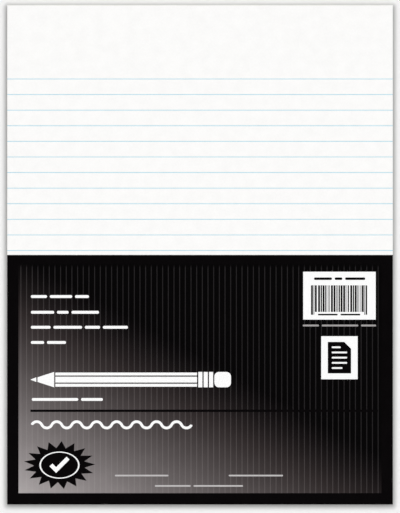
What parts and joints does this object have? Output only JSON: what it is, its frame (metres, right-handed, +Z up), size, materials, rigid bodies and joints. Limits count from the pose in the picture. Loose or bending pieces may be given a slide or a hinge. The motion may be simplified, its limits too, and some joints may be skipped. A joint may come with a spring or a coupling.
{
  "type": "writing pad",
  "caption": "Letter-size gummed writing pad: ruled white sheets on a chipboard back, glued along the top edge, with a black half-sheet label over the lower half of the front.",
  "frame": {"origin": "middle of the back's underside", "axes": "+X across the page to the reader's right, +Y up the page to the gummed edge, +Z up out of the front"},
  "size_m": [0.216, 0.2797, 0.0048],
  "materials": {
    "ruled_paper": "uncoated white bond, matte",
    "chipboard": "grey-brown recycled board, matte",
    "padding_gum": "dried white padding compound, satin",
    "printed_label": "coated sheet printed black, satin"
  },
  "bodies": {
    "root": {"paper_block": "ruled_paper", "backing_board": "chipboard", "gum_binding": "padding_gum", "label_sheet": "printed_label"}
  },
  "joints": []
}
